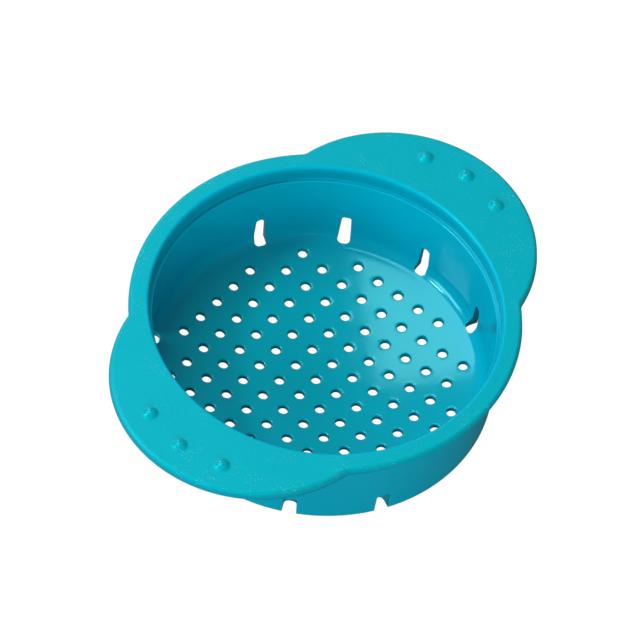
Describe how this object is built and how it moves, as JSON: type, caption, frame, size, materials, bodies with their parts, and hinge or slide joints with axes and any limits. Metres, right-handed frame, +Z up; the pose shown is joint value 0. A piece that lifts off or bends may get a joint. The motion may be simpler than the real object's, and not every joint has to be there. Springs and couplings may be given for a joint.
{
  "type": "can strainer",
  "caption": "Round plastic can strainer with a perforated dished floor, slotted wall, stepped mouth and flat handles with grip bumps.",
  "frame": {"origin": "on the bowl's axis, at the lowest point of the dished floor", "axes": "+Z up, out of the bowl's mouth; +X along the handles"},
  "size_m": [0.155, 0.1194, 0.0397],
  "materials": {
    "teal_plastic": "moulded polypropylene, finely textured on the rim and glossy inside the bowl"
  },
  "bodies": {
    "root": {"strainer_body": "teal_plastic"}
  },
  "joints": []
}
